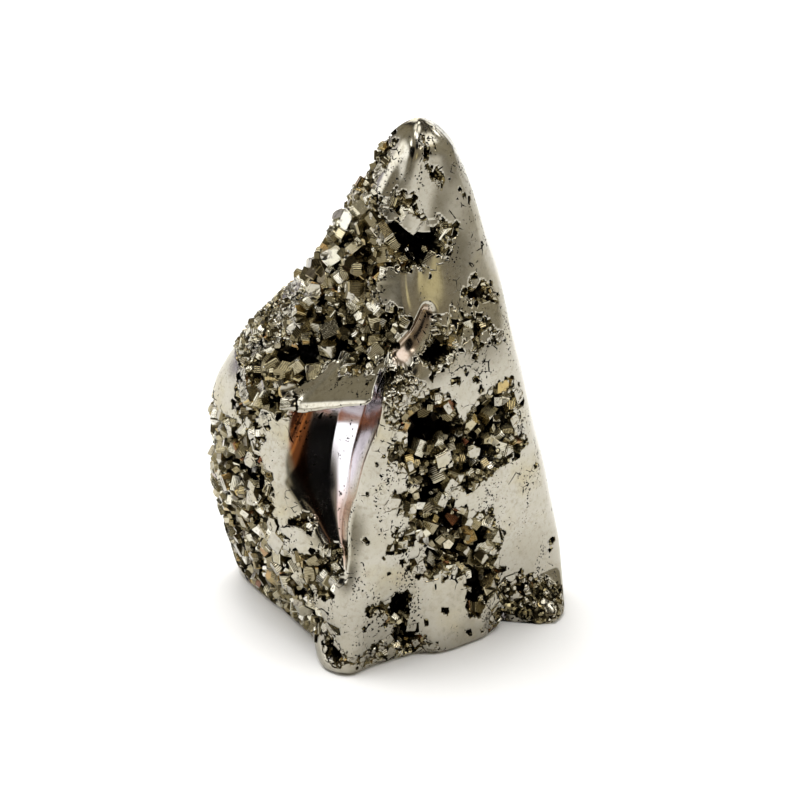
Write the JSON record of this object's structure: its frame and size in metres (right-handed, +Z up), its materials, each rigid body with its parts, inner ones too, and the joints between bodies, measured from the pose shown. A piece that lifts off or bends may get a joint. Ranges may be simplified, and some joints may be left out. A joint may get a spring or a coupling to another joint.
{
  "type": "polished pyrite specimen",
  "caption": "Standing polished free-form of pyrite with a leaning point, crystal-lined hollows, a teardrop pocket under a ledge and a flat sawn base.",
  "frame": {"origin": "middle of the bounding box's bottom face, on the flat base", "axes": "+Z up through the point; the pocket and the ledge face -Y, and the broad polished face with the foot is towards +X and -Y"},
  "size_m": [0.0484, 0.0368, 0.0696],
  "materials": {
    "pyrite": "ground and polished pale brass-grey pyrite with bright natural crystal faces in its hollows"
  },
  "bodies": {
    "root": {"pyrite_mass": "pyrite"}
  },
  "joints": []
}
